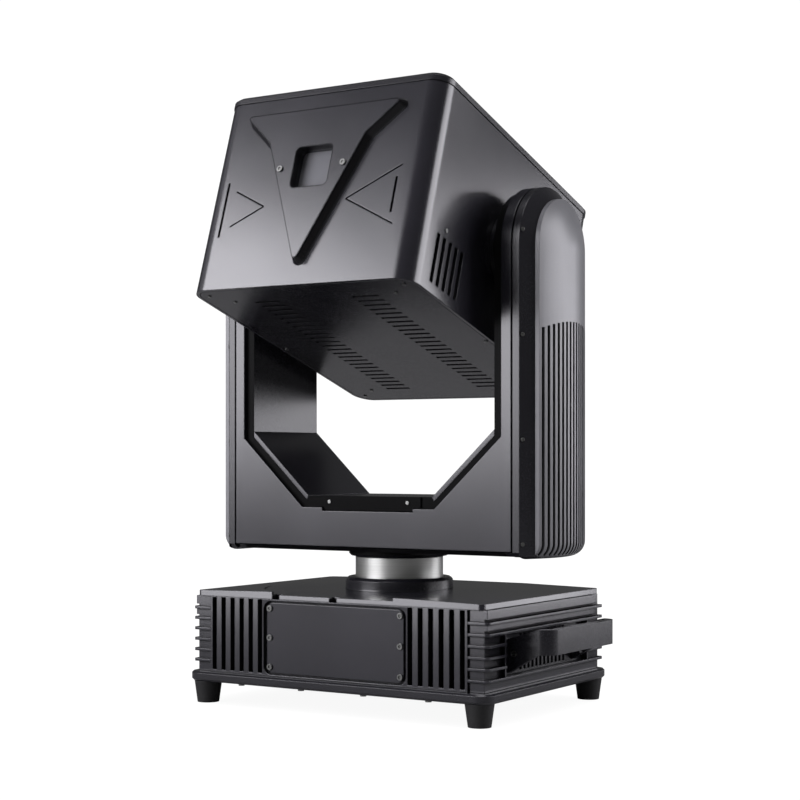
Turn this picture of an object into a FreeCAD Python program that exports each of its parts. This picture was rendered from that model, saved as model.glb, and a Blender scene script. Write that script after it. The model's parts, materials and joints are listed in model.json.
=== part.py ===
import FreeCAD, Part
import math
import os

Vector = FreeCAD.Vector
axis_x = Vector(1, 0, 0)
axis_y = Vector(0, 1, 0)
axis_z = Vector(0, 0, 1)

# Clearances shared by the whole assembly, in millimetres
overrun = 2.0              # how far a cutting tool passes the face it cuts
seat_gap = 0.2             # gap between pieces bolted side by side
running_gap = 0.5          # gap between pieces that move past each other
shaft_gap = 0.05           # radial play of a shaft in its bearing

# Fasteners: socket-head screws of the base, small screws of the yoke and head
screw_head_radius = 3.5
screw_head_height = 1.8
screw_shank_radius = 2.0
screw_grip = 4.0           # depth of thread in the piece that holds the screw
screw_socket_share = 0.55  # across corners of the hexagon socket, of the head
head_sides = 12            # flats of a screw head, few enough to keep the faces down
shank_sides = 6
small_head_radius = 2.2
small_head_height = 1.0
small_shank_radius = 1.2

# Base: tray, feet and bracket holes
rim_width = 400.0
rim_depth = 291.0
rim_corner = 17.0
rim_height = 11.0
rim_lower_bevel = 2.5
rim_upper_bevel = 2.0
tray_floor = 3.0
tray_pocket_margin = 32.0
foot_height = 25.0
foot_top_radius = 16.0
foot_bottom_radius = 12.5
foot_inset_x = 19.0
foot_inset_y = 17.5
bracket_hole_radius = 6.5
bracket_inset_x = 70.0
bracket_inset_y = 92.5
tray_screw_end = 75.5
tray_screw_inset = 7.0
tray_screws_per_side = 4

# Base: walls and covers
body_step_x = 9.8          # the walls stand back from the rim by these steps
body_step_y = 9.0
body_top = 131.3
cover_height = 8.5
cover_fall = 2.1           # the top falls by this much to the edge of each side
cover_ridge = 92.0         # half the width of its level middle
cover_corner = 6.0
deck_radius = 157.0
deck_sink = 3.5            # at the front edge, running out to nothing under the pan axis
notch_width = 10.0
notch_length = 9.0
notch_side_place = 78.0
wall_thickness = 12.0
corner_width = 19.0
corner_setback = 3.0
groove_count = 6
groove_start = 100.0
groove_end = 6.2
groove_width_share = 0.46
groove_depth = 9.0
groove_foot = 3.0
groove_head = 0.8

# Base: panels in the front and rear walls
panel_width = 182.0
panel_height = 79.0
panel_thickness = 3.0
panel_corner = 8.0
recess_margin = 4.0
recess_depth = 4.5
recess_corner = 10.0
window_margin = 11.0
panel_screw_edge = 4.0
panel_screw_rows = 3
panel_screw_spacing = 33.0

# Base: finned sides with the handle recess
side_wall = 6.0
fin_count = 6
fin_first = 48.5
fin_pitch = 12.1
fin_thickness = 3.0
fin_reach = 6.3
fin_corner = 5.0
strip_reach = 3.5
strip_groove = 2.5
strip_rear_gap = 18.0
handle_recess_length = 192.0
handle_recess_sink = 2.5
recess_frame = 2.5
recess_frame_reach = 5.0
grille_slots = 12
grille_pitch = 9.2
grille_slot_width = 5.0
grille_edge = 3.0

# Base: strap handles
grip_reach = 51.0          # body side to the outside of the grip
strap_thickness = 9.0
strap_length = 160.0
strap_bend = 16.0
leg_low = 52.0
leg_high = 88.0
grip_low = 73.0
grip_high = 100.0
grip_bend_share = 0.68     # where the rising leg meets the level grip
lug_reach = 15.0
lug_thickness = 9.0
lug_height = 24.0
handle_screw_z = 73.0
handle_screw_reach = 8.0

# Pan column
flange_radius = 62.5
flange_top = 144.5
flange_bevel = 1.4
flange_long_bevel = 3.6    # the flange's edge falls by a flat bevel and a steep one
flange_foot_radius = 70.0
flange_foot_height = 3.0
collar_radius = 51.0
collar_top = 169.0
collar_shoulder = 128.0
collar_chamfer = 1.5
spigot_radius = 40.0
spigot_bottom = 86.0
column_bore = 30.0
bearing_outer = 56.0
bearing_width = 16.0
cup_lip = 3.0
disc_radius = 58.5
disc_bevel = 2.5
pan_pulley_radius = 60.0
pan_pulley_height = 14.0
pulley_flange = 1.0
pulley_flange_lip = 2.8
pan_pinion_radius = 12.0
pan_motor_gap = 19.5
pan_motor_side = 57.0
pan_motor_corner = 6.0
motor_shaft_radius = 4.0
belt_thickness = 1.8
pulley_teeth = 40
tooth_depth = 1.0

# Base: electrics
supply_end_gap = 13.5
supply_width = 76.0
supply_height = 50.0
supply_corner = 2.0
supply_side_gap = 2.5
supply_slot_count = 9
supply_slot_width = 3.0
supply_slot_depth = 2.0
supply_slot_share = 0.7
board_width = 176.0
board_height = 70.0
board_thickness = 1.6
board_back_gap = 24.0
board_post_radius = 3.0
board_post_inset = 3.0
chip_side = 16.0
chip_height = 4.0
chip_pitch = 34.0
fan_side = 60.0
fan_depth = 15.0
fan_corner = 5.0
fan_bore = 28.5
fan_hub = 13.0
fan_blades = 7
fan_blade_tip = 27.3
fan_blade_thickness = 1.6
fan_blade_angle = 38.0
fan_spider = 2.0
fan_strut = 4.0
fan_pin_radius = 2.0

# Rear panel: sockets and controls
socket_flange_width = 26.0
socket_flange_height = 31.0
socket_flange_thickness = 2.0
socket_flange_corner = 3.0
socket_wall = 1.6
socket_depth = 20.0
socket_bottom = 3.0
power_bore = 10.6
data_bore = 9.6
pin_radius = 1.2
pin_length = 7.0
pin_circle = 5.0
power_pins = 3
data_pins = 5
socket_row_drop = 15.0
socket_pitch = 34.0
socket_inset = 29.0
control_row_rise = 20.0
display_width = 58.0
display_height = 26.0
display_thickness = 1.5
display_corner = 2.0
display_place = -44.0
button_radius = 4.6
button_stand = 2.2
button_flange = 1.6
button_flange_height = 1.2
button_first = 6.0
button_pitch = 17.0
button_travel = 1.0
button_names = ["menu_button_back", "menu_button_down", "menu_button_up", "menu_button_enter"]
key_bezel_radius = 11.0
key_bezel_height = 3.0
key_body_radius = 9.0
key_body_depth = 18.0
key_barrel_radius = 6.0
key_barrel_length = 15.0
key_slot_width = 1.8
key_slot_length = 7.5
key_slot_depth = 6.0
key_place = 46.0

# Yoke
tilt_axis_z = 511.5
arm_half_depth = 69.4
cover_thickness = 5.0
yoke_bottom = 175.0
yoke_bevel = 5.0
band_outer = 196.0
band_width = 8.0
cover_inset = 10.0
front_cover_bottom = 180.6
cover_split = 1.0
opening_inset = 22.0
opening_floor = 225.0
opening_floor_half = 89.4
opening_shoulder = 305.0
arm_thickness = 33.0
liner_offset = 8.5
liner_thickness = 5.0
flange_half_width = 70.0
flange_thickness = 2.0
tab_half_width = 61.5
tab_depth = 3.8
tab_gap = 0.8
floor_screw_place = 53.0
cavity_wall = 4.0
cavity_lap = 3.0
cavity_band = 8.5
cavity_crown = 18.4
cavity_back_wall = 8.4
bezel_reach = 12.0
bezel_inset = 14.4
bezel_bottom = 172.5
arm_screw_first = 189.0
arm_screw_pitch = 112.8
arm_screw_share = 0.22     # how far out on the flank the screws stand
arm_screw_rows = 4
fin_cover_bottom = 172.5
fin_cover_crown = 18.5
fin_cover_side = 5.0
fin_cover_bend = 17.0
fin_groove_count = 15
fin_groove_span_share = 0.982
fin_groove_width_share = 0.5
fin_groove_depth = 7.0
fin_groove_top = 431.0
fin_groove_arch = 10.0

# Tilt drive
trunnion_flange_radius = 44.0
trunnion_flange = 6.0
trunnion_neck_radius = 30.0
trunnion_radius = 18.0
trunnion_bore = 10.0
tilt_bearing_outer = 28.0
tilt_bearing_width = 11.0
tilt_pulley_gap = 6.0      # between the pulley and the head of the arm's cavity
tilt_pulley_width = 8.0
tilt_pinion_radius = 10.0
tilt_motor_side = 40.0
tilt_motor_length = 44.0
tilt_motor_corner = 4.0
tilt_teeth = 32

# Head, in its own frame with the tilt axis at the origin and the beam along -Y
rest_tilt = 17.9
head_side_gap = 18.2
head_front = -184.7
head_rear = 178.4
head_bottom = -106.7
head_top = 130.7
head_corner = 22.0
head_wall = 4.0
cap_height = 9.8
cap_overhang = 1.0
cap_bevel = 4.0
bottom_plate = 4.0
vent_count = 5
vent_pitch = 12.6
vent_start = 40.0
vent_width = 6.1
vent_rise = 11.6
vent_length = 54.7
vent_screw_rise = 8.4
bottom_slot_rows = 24
bottom_slot_pitch = 12.2
bottom_slot_width = 4.6
bottom_slot_inner = 47.5
bottom_slot_outer = 81.3
bottom_screw_inset_x = 38.8
bottom_screw_inset_y = 36.5
bottom_side_screw_inset = 8.5
bottom_corner_screw_inset = 17.0
bottom_plate_bevel = 0.8

# Head front: raised vee plate on its spacer, aperture, engraved chevrons and bars
vee_half_width = 103.8
vee_top = 97.5
vee_kink_half = 63.5
vee_kink = 61.0
vee_tip = -86.0
vee_tip_round = 4.0
vee_kink_round = 8.0
vee_top_round = 3.0
spacer_thickness = 9.0
spacer_spread = 5.0        # the dark spacer grows wider by this much towards the casing
vee_plate_thickness = 1.5
aperture_side = 48.0
aperture_z = 27.5
aperture_corner = 6.0
aperture_screw_place = 41.5
glass_margin = 5.0
glass_thickness = 3.0
mark_depth = 2.0
chevron_width = 1.5
large_chevron_tip = 45.8   # the large chevron and the short bar are on the right
large_chevron_end = 111.5
large_chevron_z = -10.5
large_chevron_half = 34.0
short_bar_place = 106.8
short_bar_half = 20.5
small_chevron_tip = -63.0
small_chevron_end = -104.7
small_chevron_z = -10.5
small_chevron_half = 21.2
long_bar_place = -117.7
long_bar_half = 33.0
bar_width = 2.4

# Head rear: heat sink
sink_side_margin = 34.5
sink_foot_margin = 24.0
sink_top_margin = 21.0
sink_plate = 4.0
sink_fin_reach = 10.2
sink_fin_count = 21
sink_fin_thickness = 3.0
sink_screw_edge = 7.0

# Head: optics
bench_rise = 56.0
bench_thickness = 8.0
bench_side_gap = 21.5
bench_front_gap = 26.5
bench_rear_gap = 29.4
bench_post_radius = 6.0
bench_post_inset = 14.0
laser_half_width = 48.0
laser_length = 110.0
laser_rear_gap = 49.4
laser_height = 74.0
laser_corner = 4.0
laser_port_radius = 6.0
scanner_block_width = 26.0
scanner_block_gap = 13.0
scanner_block_length = 30.0
galvo_radius = 8.0
galvo_length = 34.0
galvo_wall = 5.0
mirror_shaft_radius = 1.5
mirror_shaft_length = 6.0
mirror_front_gap = 37.5
mirror_spacing = 17.0
mirror_length = 14.0
mirror_width = 9.0
mirror_thickness = 1.5
fold_place = 36.0
fold_width = 12.0
fold_thickness = 5.0

# Places worked out from the sizes above
body_width = rim_width - 2 * body_step_x
body_depth = rim_depth - 2 * body_step_y
bracket_spacing_x = rim_width - 2 * bracket_inset_x
bracket_spacing_y = rim_depth - 2 * bracket_inset_y
tray_screw_pitch = (rim_width - 2 * tray_screw_end) / (tray_screws_per_side - 1)
pocket_half_x = rim_width / 2 - tray_pocket_margin
pocket_half_y = rim_depth / 2 - tray_pocket_margin
supply_length = 2 * (pocket_half_y - supply_end_gap)
pan_motor_distance = pocket_half_x - pan_motor_gap - pan_motor_side / 2
wall_base = foot_height + rim_height
wall_top = body_top - cover_height
body_half = body_width / 2
depth_half = body_depth / 2
groove_pitch = (body_half - corner_width - groove_end - groove_start) / (groove_count - 1)
groove_width = groove_pitch * groove_width_share
deck_front = body_top - deck_sink
panel_z = (wall_base + wall_top) / 2
floor_z = foot_height + tray_floor
fin_levels = [fin_first + k * fin_pitch for k in range(fin_count)]
recess_low = fin_levels[0] + fin_thickness / 2
recess_high = fin_levels[-2] - fin_thickness / 2
side_floor_x = body_half - handle_recess_sink
grip_outer = body_half + grip_reach
core_half_depth = arm_half_depth - cover_thickness
band_inner = band_outer - band_width
cover_half_width = band_outer - cover_inset
opening_half_width = band_outer - opening_inset
arm_inner_half = band_outer - arm_thickness
cavity_outer = band_outer - cavity_band
cavity_head = core_half_depth - cavity_crown
cavity_back = core_half_depth - cavity_back_wall
bezel_outer = band_outer + bezel_reach
bezel_half_depth = arm_half_depth - bezel_inset
fin_groove_pitch = 2 * bezel_half_depth * fin_groove_span_share / fin_groove_count
fin_groove_width = fin_groove_pitch * fin_groove_width_share
arm_top = tilt_axis_z + arm_half_depth
liner_floor = opening_floor + liner_offset
slope = math.atan2(opening_shoulder - opening_floor, opening_half_width - opening_floor_half)
bearing_bottom = wall_top - bearing_width
pan_pulley_top = bearing_bottom - cup_lip - running_gap
pan_pulley_bottom = pan_pulley_top - pan_pulley_height
tilt_motor_z = (yoke_bottom + cavity_wall + opening_floor - cavity_lap) / 2
tilt_pulley_radius = cavity_head - tilt_pulley_gap
tilt_pulley_inner = cavity_outer - running_gap - tilt_pulley_width
head_half_width = arm_inner_half - head_side_gap
vent_first = head_front + vent_start
vent_low = head_bottom + vent_rise
vent_high = vent_low + vent_length
sink_half_width = head_half_width - sink_side_margin
sink_low = head_bottom + sink_foot_margin
sink_high = head_top - sink_top_margin
bench_top = head_bottom + bench_rise
bench_half_width = head_half_width - bench_side_gap
bench_front = head_front + bench_front_gap
bench_rear = head_rear - bench_rear_gap
laser_rear = head_rear - laser_rear_gap
laser_front = laser_rear - laser_length
mirror_place = head_front + mirror_front_gap
scanner_block_front = mirror_place + scanner_block_gap
scanner_block_rear = scanner_block_front + scanner_block_length
shell_low = head_bottom + bottom_plate
shell_high = head_top - cap_height
head_middle = (head_front + head_rear) / 2
bottom_screw_x = head_half_width - bottom_screw_inset_x
bottom_screw_y = (head_rear - head_front) / 2 - bottom_screw_inset_y
bottom_side_screw_x = head_half_width - bottom_side_screw_inset
bottom_corner_screw_x = head_half_width - bottom_corner_screw_inset
bottom_corner_screw_y = (head_rear - head_front) / 2 - bottom_corner_screw_inset
spacer_front = head_front - spacer_thickness
vee_front = spacer_front - vee_plate_thickness
socket_first = socket_inset - panel_width / 2
socket_z = panel_z - socket_row_drop
control_z = panel_z + control_row_rise
panel_back = depth_half - recess_depth
panel_front = panel_back + panel_thickness


# Shapes used again and again
def block(x0, x1, y0, y1, z0, z1):
    return Part.makeBox(x1 - x0, y1 - y0, z1 - z0, Vector(x0, y0, z0))


def rod(radius, start, end):
    return Part.makeCylinder(radius, (end - start).Length, start, end - start)


def rectangle(width, height, across=0, up=0):
    half = width / 2
    rise = height / 2
    return [(across - half, up - rise), (across + half, up - rise), (across + half, up + rise), (across - half, up + rise)]


def on_plane(plane, level, point):
    a, b = point
    return {"xy": Vector(a, b, level), "xz": Vector(a, level, b), "yz": Vector(level, a, b)}[plane]


def outline(corners, radii, plane, level):
    # Closed wire through the corners, each one rounded by its own radius or all by the same one
    points = [on_plane(plane, level, corner) for corner in corners]
    radii = radii if isinstance(radii, list) else [radii] * len(points)
    edges = []
    ends = []
    for k, corner in enumerate(points):
        towards = (corner - points[k - 1]).normalize()
        away = (points[(k + 1) % len(points)] - corner).normalize()
        turn = towards.getAngle(away)
        reach = radii[k] * math.tan(turn / 2)
        start = corner - towards * reach
        end = corner + away * reach
        if radii[k] > 0:
            inward = (away - towards).normalize()
            middle = corner + inward * (radii[k] / math.cos(turn / 2) - radii[k])
            edges.append(Part.Arc(start, middle, end).toShape())
        ends.append((start, end))
    for k, (start, end) in enumerate(ends):
        before = ends[k - 1][1]
        if (start - before).Length > shaft_gap:
            edges.append(Part.LineSegment(before, start).toShape())
    return Part.Wire(Part.__sortEdges__(edges))


def prism(corners, radii, plane, low, high):
    along = {"xy": axis_z, "xz": axis_y, "yz": axis_x}[plane]
    return Part.Face(outline(corners, radii, plane, low)).extrude(along * (high - low))


def turned(profile):
    # Ring turned about the pan axis from a profile of radius and height
    points = [Vector(radius, 0, height) for radius, height in profile]
    return Part.Face(Part.makePolygon(points + points[:1])).revolve(Vector(0, 0, 0), axis_z, 360)


def flipped(shape, normal):
    return shape.mirror(Vector(0, 0, 0), normal)


def joined(shapes):
    return shapes[0].fuse(shapes[1:]).removeSplitter()


def polygon_rod(sides, radius, start, end):
    # Prism with a regular polygon for its section, for small round pieces that need few faces
    along = (end - start).normalize()
    side = axis_x if abs(along.z) > abs(along.x) + abs(along.y) else axis_z
    other = along.cross(side)
    corners = []
    for k in range(sides):
        angle = 2 * math.pi * k / sides
        corners.append(start + side * (radius * math.cos(angle)) + other * (radius * math.sin(angle)))
    return Part.Face(Part.makePolygon(corners + corners[:1])).extrude(end - start)


def screw(seat, outward, grip):
    top = seat + outward * screw_head_height
    head = polygon_rod(head_sides, screw_head_radius, seat, top)
    shank = polygon_rod(shank_sides, screw_shank_radius, seat - outward * grip, seat)
    socket_floor = seat + outward * (screw_head_height / 2)
    socket = polygon_rod(shank_sides, screw_head_radius * screw_socket_share, socket_floor, top + outward * overrun)
    return joined([head, shank]).cut(socket)


def small_screw(seat, outward, grip):
    head = polygon_rod(head_sides, small_head_radius, seat, seat + outward * small_head_height)
    shank = polygon_rod(shank_sides, small_shank_radius, seat - outward * grip, seat)
    return joined([head, shank])


def screw_hole(seat, outward, depth, radius=screw_shank_radius):
    return polygon_rod(shank_sides, radius, seat - outward * depth, seat + outward * overrun)


# Base: tray and feet
def tray():
    solid = prism(rectangle(rim_width, rim_depth), rim_corner, "xy", foot_height, wall_base)
    lower = [edge for edge in solid.Edges if edge.BoundBox.ZMax < foot_height + shaft_gap]
    solid = solid.makeChamfer(rim_lower_bevel, lower)
    upper = [edge for edge in solid.Edges if edge.BoundBox.ZMin > wall_base - shaft_gap]
    solid = solid.makeChamfer(rim_upper_bevel, upper)
    pocket = rectangle(2 * pocket_half_x, 2 * pocket_half_y)
    tools = [prism(pocket, rim_corner, "xy", floor_z, wall_base + overrun)]
    for x, y in bracket_places():
        tools.append(rod(bracket_hole_radius, Vector(x, y, foot_height - overrun), Vector(x, y, floor_z + overrun)))
    for seat in tray_screw_seats():
        tools.append(screw_hole(seat, axis_z * -1, screw_grip))
    return solid.cut(tools)


def bracket_places():
    across = bracket_spacing_x / 2
    along = bracket_spacing_y / 2
    return [(-across, -along), (across, -along), (across, along), (-across, along)]


def tray_screw_seats():
    seats = []
    for k in range(tray_screws_per_side):
        x = (k - (tray_screws_per_side - 1) / 2) * tray_screw_pitch
        for side in (-1, 1):
            seats.append(Vector(x, side * (rim_depth / 2 - tray_screw_inset), foot_height))
    return seats


def feet():
    solids = []
    for x_side in (-1, 1):
        for y_side in (-1, 1):
            place = Vector(x_side * (rim_width / 2 - foot_inset_x), y_side * (rim_depth / 2 - foot_inset_y), 0)
            solids.append(Part.makeCone(foot_bottom_radius, foot_top_radius, foot_height, place))
    return solids


# Base: front and rear walls with their panels
def panel_screw_places():
    places = []
    for side in (-1, 1):
        for row in range(panel_screw_rows):
            rise = (row - (panel_screw_rows - 1) / 2) * panel_screw_spacing
            places.append((side * (panel_width / 2 - panel_screw_edge), panel_z + rise))
    return places


def grille_wall():
    half = body_half - corner_width - seat_gap
    solid = block(-half, half, -depth_half, -depth_half + wall_thickness, wall_base, wall_top)
    tools = []
    for side in (-1, 1):
        for k in range(groove_count):
            x = side * (groove_start + k * groove_pitch)
            tools.append(block(x - groove_width / 2, x + groove_width / 2, -depth_half - overrun,
                               -depth_half + groove_depth, wall_base + groove_foot, wall_top - groove_head))
    recess = rectangle(panel_width + 2 * recess_margin, panel_height + recess_margin, 0, panel_z)
    tools.append(prism(recess, recess_corner, "xz", -depth_half - overrun, -depth_half + recess_depth))
    window = rectangle(panel_width - 2 * window_margin, panel_height - 2 * window_margin, 0, panel_z)
    tools.append(prism(window, panel_corner, "xz", -depth_half, -depth_half + wall_thickness + overrun))
    for x, z in panel_screw_places():
        tools.append(screw_hole(Vector(x, -panel_back, z), axis_y * -1, screw_grip))
    return solid.cut(tools)


def panel():
    solid = prism(rectangle(panel_width, panel_height, 0, panel_z), panel_corner, "xz", -panel_front, -panel_back)
    holes = [screw_hole(Vector(x, -panel_front, z), axis_y * -1, panel_thickness + overrun)
             for x, z in panel_screw_places()]
    return solid.cut(holes)


def socket_place(k):
    return Vector(socket_first + k * socket_pitch, panel_front, socket_z)


def button_place(k):
    return Vector(button_first + k * button_pitch, panel_front, control_z)


def rear_panel():
    solid = flipped(panel(), axis_y)
    back = axis_y * (panel_thickness + overrun)
    out = axis_y * overrun
    tools = []
    for k, bore in enumerate([power_bore, data_bore, data_bore]):
        place = socket_place(k)
        tools.append(rod(bore + socket_wall + seat_gap, place - back, place + out))
    for k in range(len(button_names)):
        place = button_place(k)
        tools.append(rod(button_radius + running_gap, place - back, place + out))
    key = Vector(key_place, panel_front, socket_z)
    tools.append(rod(key_body_radius + seat_gap, key - back, key + out))
    glass = rectangle(display_width + 2 * seat_gap, display_height + 2 * seat_gap, display_place, control_z)
    tools.append(prism(glass, display_corner, "xz", panel_front - display_thickness, panel_front + overrun))
    return solid.cut(tools)


def base_screws():
    solids = [screw(seat, axis_z * -1, screw_grip) for seat in tray_screw_seats()]
    for x, z in panel_screw_places():
        front = screw(Vector(x, -panel_front, z), axis_y * -1, panel_thickness + screw_grip)
        solids += [front, flipped(front, axis_y)]
    for seat, outward in handle_screw_seats():
        right = screw(seat, outward, strap_thickness + screw_grip)
        solids += [right, flipped(right, axis_x)]
    return solids


# Base: right side wall with fins, strips and the handle recess, mirrored for the left one
def side_panel():
    inner = body_half - side_wall
    low_y = -depth_half + corner_setback
    parts = [block(inner, body_half, low_y, -low_y, wall_base, wall_top)]
    post_depth = wall_thickness - corner_setback
    for y in (low_y, -low_y - post_depth):
        parts.append(block(body_half - corner_width, body_half, y, y + post_depth, wall_base, wall_top))
    ring = [(body_half - corner_width, -depth_half), (body_half + fin_reach, -depth_half),
            (body_half + fin_reach, depth_half), (body_half - corner_width, depth_half)]
    hollow = block(0, inner, -depth_half + wall_thickness, depth_half - wall_thickness, 0, body_top)
    for z in fin_levels:
        fin = prism(ring, [0, fin_corner, fin_corner, 0], "xy", z - fin_thickness / 2, z + fin_thickness / 2)
        parts.append(fin.cut(hollow))
    tops = [wall_top, fin_levels[-1] - fin_thickness / 2]
    lows = [fin_levels[-1], fin_levels[-2]]
    for top, low in zip(tops, lows):
        parts.append(block(body_half, body_half + strip_reach, low_y, depth_half - strip_rear_gap,
                           low + fin_thickness / 2 + strip_groove, top))
    solid = joined(parts)
    half = handle_recess_length / 2
    solid = solid.cut(block(side_floor_x, body_half + fin_reach + overrun, -half, half, recess_low, recess_high))
    extras = []
    for side in (-1, 1):
        edge = side * (half + recess_frame / 2)
        extras.append(block(body_half, body_half + recess_frame_reach, edge - recess_frame / 2,
                            edge + recess_frame / 2, recess_low - seat_gap, recess_high + seat_gap))
        inside = side * (strap_length / 2 - strap_thickness - lug_thickness / 2)
        extras.append(block(side_floor_x - seat_gap, side_floor_x + lug_reach, inside - lug_thickness / 2,
                            inside + lug_thickness / 2, handle_screw_z - lug_height / 2,
                            handle_screw_z + lug_height / 2))
    solid = joined([solid] + extras)
    slots = []
    for k in range(grille_slots):
        y = (k - (grille_slots - 1) / 2) * grille_pitch
        slots.append(block(inner - overrun, body_half + overrun, y - grille_slot_width / 2,
                           y + grille_slot_width / 2, recess_low + grille_edge, recess_high - grille_edge))
    for seat, outward in handle_screw_seats():
        slots.append(screw_hole(seat, outward, strap_thickness + screw_grip))
    return solid.cut(slots)


# Base: right strap handle, cut from its plan and its side view
def handle_screw_seats():
    x = side_floor_x + handle_screw_reach
    return [(Vector(x, side * strap_length / 2, handle_screw_z), axis_y * side) for side in (-1, 1)]


def handle():
    half = strap_length / 2
    root = side_floor_x
    outer = [(root, -half), (grip_outer, -half), (grip_outer, half), (root, half)]
    inner_x = grip_outer - strap_thickness
    inner_half = half - strap_thickness
    inner = [(root - overrun, -inner_half), (inner_x, -inner_half), (inner_x, inner_half), (root - overrun, inner_half)]
    inner_bend = strap_bend - strap_thickness
    plan = prism(outer, [0, strap_bend, strap_bend, 0], "xy", 0, body_top)
    plan = plan.cut(prism(inner, [0, inner_bend, inner_bend, 0], "xy", -overrun, body_top + overrun))
    bend_x = root + (grip_outer - root) * grip_bend_share
    view = [(root, leg_low), (bend_x, grip_low), (grip_outer, grip_low), (grip_outer, grip_high), (bend_x, grip_high),
            (root, leg_high)]
    side = prism(view, [0, strap_bend, 0, 0, strap_bend, 0], "xz", -half - overrun, half + overrun)
    solid = plan.common(side)
    holes = [screw_hole(seat, outward, strap_thickness + overrun) for seat, outward in handle_screw_seats()]
    return solid.cut(holes)


# Base: top cover, falling to both sides, with a round deck sunk towards the front and notches in its front edge
def top_cover():
    right = [(body_half, wall_top), (body_half, body_top - cover_fall), (cover_ridge, body_top)]
    left = [(-x, z) for x, z in reversed(right)]
    solid = prism(right + left, 0, "xz", -depth_half, depth_half)
    plan = prism(rectangle(body_width, body_depth), cover_corner, "xy", wall_top - overrun, body_top + overrun)
    above = body_top + overrun
    front = -depth_half - overrun
    sunk = prism([(front, deck_front), (0, body_top), (0, above), (front, above)], 0, "yz", -deck_radius, deck_radius)
    deck = sunk.common(rod(deck_radius, Vector(0, 0, wall_top), Vector(0, 0, above)))
    tools = [deck, rod(flange_radius + seat_gap, Vector(0, 0, 0), Vector(0, 0, above))]
    for x in (-notch_side_place, 0):
        tools.append(block(x - notch_width / 2, x + notch_width / 2, front, -depth_half + notch_length,
                           wall_top - overrun, above))
    return solid.common(plan).cut(tools)


# Pan column: fixed flange with the bearing cup, bearing, turning collar, pulley and drive
def pan_flange():
    # Cup for the bearing, hung under the cover by its foot, with a bevelled neck that rises round the collar
    bore = collar_radius + running_gap
    lip = spigot_radius + running_gap
    foot = wall_top - flange_foot_height
    return turned([(bore, wall_top), (bore, flange_top), (flange_radius - flange_long_bevel, flange_top),
                   (flange_radius - flange_bevel, flange_top - flange_bevel), (flange_radius, flange_top - flange_long_bevel),
                   (flange_radius, wall_top), (flange_foot_radius, wall_top), (flange_foot_radius, foot),
                   (flange_radius, foot), (flange_radius, bearing_bottom - cup_lip), (lip, bearing_bottom - cup_lip),
                   (lip, bearing_bottom), (bearing_outer, bearing_bottom), (bearing_outer, wall_top)])


def pan_bearing():
    outer = rod(bearing_outer, Vector(0, 0, bearing_bottom), Vector(0, 0, wall_top))
    return outer.cut(rod(spigot_radius + shaft_gap, Vector(0, 0, 0), Vector(0, 0, body_top)))


def pan_collar():
    edge = collar_radius - collar_chamfer
    return turned([(column_bore, spigot_bottom), (spigot_radius, spigot_bottom), (spigot_radius, collar_shoulder),
                   (collar_radius, collar_shoulder), (collar_radius, collar_top - collar_chamfer), (edge, collar_top),
                   (column_bore, collar_top)])


def yoke_disc():
    return turned([(column_bore, collar_top), (disc_radius - disc_bevel, collar_top),
                   (disc_radius, collar_top + disc_bevel), (disc_radius, yoke_bottom), (column_bore, yoke_bottom)])


def toothed_wheel(radius, width, teeth, bore, centre, along):
    # Belt wheel between two thin flanges, with flat teeth and gaps of equal width
    side = along.cross(axis_y)
    steps = 4 * teeth
    corners = []
    for k in range(steps):
        reach = radius if k % 4 < 2 else radius - tooth_depth
        angle = 2 * math.pi * k / steps
        corners.append(centre + side * (reach * math.cos(angle)) + axis_y * (reach * math.sin(angle)))
    wheel = Part.Face(Part.makePolygon(corners + corners[:1])).extrude(along * width)
    lip = radius + pulley_flange_lip
    rims = [rod(lip, centre, centre + along * pulley_flange),
            rod(lip, centre + along * (width - pulley_flange), centre + along * width)]
    return joined([wheel] + rims).cut(rod(bore, centre - along * overrun, centre + along * (width + overrun)))


def belt(big, small, distance, width, centre, along, towards):
    # Flat loop over a large and a small wheel, drawn by tangent lines and arcs
    across = along.cross(towards)
    lean = math.asin((big - small) / distance)

    def touch(radius, place, side):
        return place + towards * (radius * math.sin(lean)) + across * (side * radius * math.cos(lean))

    def loop(extra):
        far = centre + towards * distance
        a = touch(big + extra, centre, 1)
        b = touch(small + extra, far, 1)
        c = touch(small + extra, far, -1)
        d = touch(big + extra, centre, -1)
        edges = [Part.LineSegment(a, b).toShape(), Part.Arc(b, far + towards * (small + extra), c).toShape(),
                 Part.LineSegment(c, d).toShape(), Part.Arc(d, centre - towards * (big + extra), a).toShape()]
        return Part.Face(Part.Wire(edges)).extrude(along * width)

    return loop(running_gap + belt_thickness).cut(loop(running_gap))


def pan_pulley():
    return toothed_wheel(pan_pulley_radius, pan_pulley_height, pulley_teeth, spigot_radius,
                         Vector(0, 0, pan_pulley_bottom), axis_z)


def pan_pinion():
    teeth = round(pulley_teeth * pan_pinion_radius / pan_pulley_radius)
    return toothed_wheel(pan_pinion_radius, pan_pulley_height, teeth, motor_shaft_radius + shaft_gap,
                         Vector(pan_motor_distance, 0, pan_pulley_bottom), axis_z)


def belt_width(wheel_width):
    return wheel_width - 2 * pulley_flange - 2 * running_gap


def pan_belt():
    low = Vector(0, 0, pan_pulley_bottom + pulley_flange + running_gap)
    return belt(pan_pulley_radius, pan_pinion_radius, pan_motor_distance, belt_width(pan_pulley_height), low, axis_z,
                axis_x)


def pan_motor():
    top = pan_pulley_bottom - running_gap
    can = prism(rectangle(pan_motor_side, pan_motor_side, pan_motor_distance), pan_motor_corner, "xy", floor_z, top)
    shaft = rod(motor_shaft_radius, Vector(pan_motor_distance, 0, floor_z), Vector(pan_motor_distance, 0, pan_pulley_top))
    return joined([can, shaft])


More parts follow.
